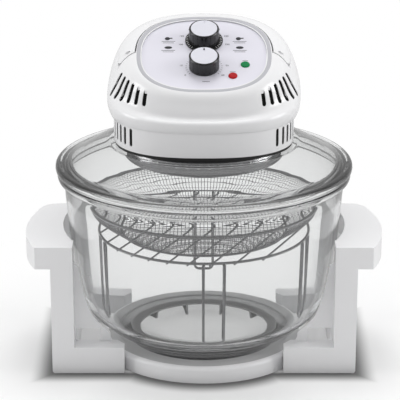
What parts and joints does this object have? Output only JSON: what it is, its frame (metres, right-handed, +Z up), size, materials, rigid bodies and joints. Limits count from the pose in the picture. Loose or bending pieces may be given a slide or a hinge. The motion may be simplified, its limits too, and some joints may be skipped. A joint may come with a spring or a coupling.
{
  "type": "rotisserie oven",
  "caption": "Tabletop halogen convection oven: glass bowl with wire rack and mesh basket on a white stand, under a domed glass lid with a power head, knobs and a carry handle",
  "frame": {"origin": "on the floor, under the centre of the object's bounding box and the bowl's axis", "axes": "+Z up, the control panel faces -Y, +X to the viewer's right"},
  "size_m": [0.3962, 0.33, 0.3766],
  "materials": {
    "white_moulding": "satin",
    "white_housing": "gloss",
    "panel": "satin",
    "black_plastic": "satin",
    "knob_face": "satin",
    "glass": "clear",
    "chrome_wire": "polished",
    "reflector": "polished",
    "steel": "brushed",
    "aluminium": "matte",
    "motor_iron": "matte",
    "lamp_glass": "clear",
    "ceramic": "matte",
    "rubber": "matte",
    "lens_green": "gloss",
    "lens_red": "gloss"
  },
  "bodies": {
    "base": {"base_ring": "white_moulding", "bowl_seat": "white_moulding", "seat_ribs": "white_moulding", "base_screws": "steel", "side_frame_left": "white_moulding", "side_frame_right": "white_moulding", "rubber_pad_rear_left": "rubber", "rubber_pad_front_left": "rubber", "rubber_pad_rear_right": "rubber", "rubber_pad_front_right": "rubber"},
    "bowl": {"glass_bowl": "glass"},
    "rack": {"rack_ring": "chrome_wire", "wire_rack": "chrome_wire", "rack_leg_front": "chrome_wire", "rack_leg_left": "chrome_wire", "rack_leg_right": "chrome_wire", "rack_leg_rear": "chrome_wire"},
    "basket": {"basket_rim": "chrome_wire", "basket_foot_ring": "chrome_wire", "basket_mesh": "chrome_wire"},
    "lid_head": {"glass_lid": "glass", "reflector_flange": "reflector", "reflector_drum": "reflector", "lamp_guard": "chrome_wire", "halogen_lamp": "lamp_glass", "lamp_holders": "ceramic", "head_gasket": "rubber", "lower_housing": "white_housing", "upper_housing": "white_housing", "cord_gland": "black_plastic", "control_panel": "panel", "dial_ring": "black_plastic", "lens_green": "lens_green", "lens_red": "lens_red", "motor_plate": "steel", "motor_bracket": "steel", "motor_screws": "steel", "fan_motor": "motor_iron", "thermostat_body": "black_plastic", "timer_body": "black_plastic", "safety_switch": "black_plastic"},
    "fan": {"fan_shaft": "steel", "hot_air_fan": "aluminium", "cooling_fan": "aluminium"},
    "temperature_control": {"temperature_knob": "black_plastic", "temperature_knob_cap": "knob_face", "temperature_shaft": "steel"},
    "timer_control": {"timer_knob": "black_plastic", "timer_knob_cap": "knob_face", "timer_shaft": "steel"},
    "handle": {"carry_handle": "white_housing", "handle_pins": "steel"},
    "plunger": {"safety_plunger": "white_moulding"}
  },
  "joints": [
    {"name": "bowl_lift", "type": "slide", "parent": "base", "child": "bowl", "axis": [0, 0, 1], "range_m": [0, 0.12]},
    {"name": "lid_lift", "type": "slide", "parent": "bowl", "child": "lid_head", "axis": [0, 0, 1], "range_m": [0, 0.25]},
    {"name": "rack_lift", "type": "slide", "parent": "bowl", "child": "rack", "axis": [0, 0, 1], "range_m": [0, 0.0875]},
    {"name": "basket_lift", "type": "slide", "parent": "bowl", "child": "basket", "axis": [0, 0, 1], "range_m": [0, 0.15]},
    {"name": "fan_spin", "type": "hinge", "parent": "lid_head", "child": "fan", "pos_m": [0, 0, 0.245], "axis": [0, 0, 1], "continuous": true},
    {"name": "temperature_turn", "type": "hinge", "parent": "lid_head", "child": "temperature_control", "pos_m": [0, 0.01047, 0.35586], "axis": [0, -0.3987, 0.9171], "range_deg": [-270, 0]},
    {"name": "timer_turn", "type": "hinge", "parent": "lid_head", "child": "timer_control", "pos_m": [0, -0.03172, 0.33752], "axis": [0, -0.3987, 0.9171], "range_deg": [-300, 0]},
    {"name": "handle_swing", "type": "hinge", "parent": "lid_head", "child": "handle", "pos_m": [0, -0.002, 0.344], "axis": [1, 0, 0], "range_deg": [0, 80]},
    {"name": "plunger_travel", "type": "slide", "parent": "lid_head", "child": "plunger", "axis": [0, 0, 1], "range_m": [0, 0.002]}
  ],
  "couplings": [
    {"joint": "rack_lift", "follows": "lid_lift", "ratio": 0.35},
    {"joint": "basket_lift", "follows": "lid_lift", "ratio": 0.6},
    {"joint": "plunger_travel", "follows": "handle_swing", "m_per_rad": 0.001431}
  ]
}
